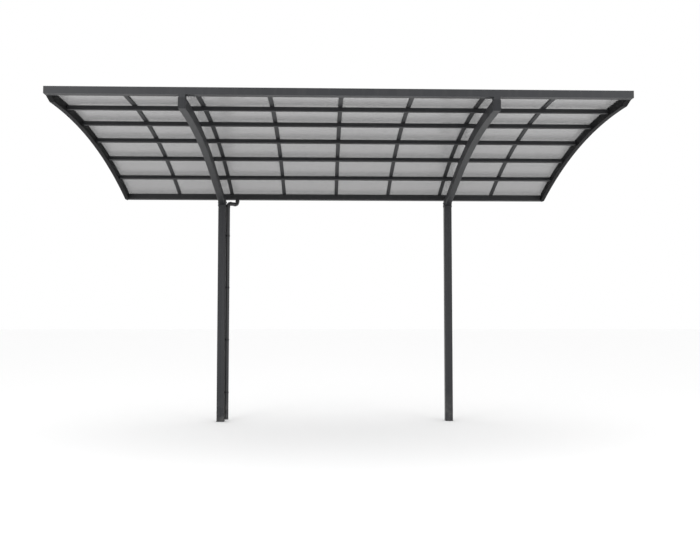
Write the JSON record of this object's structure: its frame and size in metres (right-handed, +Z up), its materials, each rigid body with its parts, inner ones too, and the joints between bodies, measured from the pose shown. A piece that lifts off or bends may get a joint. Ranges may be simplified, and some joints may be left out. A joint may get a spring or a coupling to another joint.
{
  "type": "carport",
  "caption": "Cantilever carport with two rear posts, curved arms and a curved roof of smoke-grey sheets that drains to a rear gutter.",
  "frame": {"origin": "middle of the left post's foot face, at ground level", "axes": "+X along the roof's length from the left post to the right post, +Y from the open front to the rear gutter, +Z up"},
  "size_m": [5.5, 3.4441, 3.4541],
  "materials": {
    "frame_paint": "powder-coated aluminium, satin anthracite",
    "smoke_sheet": "smoke-grey translucent polycarbonate sheet",
    "cap_plastic": "matte moulded plastic, anthracite",
    "pipe_plastic": "satin extruded plastic pipe, anthracite",
    "seal_rubber": "soft black rubber seals and sealant",
    "fastener_steel": "steel with a black coating, for bolts and screws"
  },
  "bodies": {
    "root": {"left_post": "frame_paint", "right_post": "frame_paint", "left_post_head": "frame_paint", "right_post_head": "frame_paint", "left_arm": "frame_paint", "right_arm": "frame_paint", "left_arm_cap": "frame_paint", "right_arm_cap": "frame_paint", "cleats": "frame_paint", "front_beam": "frame_paint", "front_beam_left_cap": "cap_plastic", "front_beam_right_cap": "cap_plastic", "gutter_front": "frame_paint", "gutter_floor": "frame_paint", "gutter_back": "frame_paint", "gutter_left_cap": "cap_plastic", "gutter_right_cap": "cap_plastic", "left_side_frame": "frame_paint", "right_side_frame": "frame_paint", "purlin_1": "frame_paint", "purlin_2": "frame_paint", "purlin_3": "frame_paint", "purlin_4": "frame_paint", "purlin_5": "frame_paint", "rafter_1": "frame_paint", "rafter_2": "frame_paint", "rafter_3": "frame_paint", "rafter_4": "frame_paint", "rafter_5": "frame_paint", "rafter_6": "frame_paint", "rafter_7": "frame_paint", "rafter_covers": "frame_paint", "sheet_1": "smoke_sheet", "sheet_2": "smoke_sheet", "sheet_3": "smoke_sheet", "sheet_4": "smoke_sheet", "sheet_5": "smoke_sheet", "sheet_6": "smoke_sheet", "sheet_7": "smoke_sheet", "sheet_8": "smoke_sheet", "outlet_elbow": "pipe_plastic", "pipe_run": "pipe_plastic", "post_elbow": "pipe_plastic", "downpipe": "pipe_plastic", "pipe_clips": "frame_paint"}
  },
  "joints": []
}
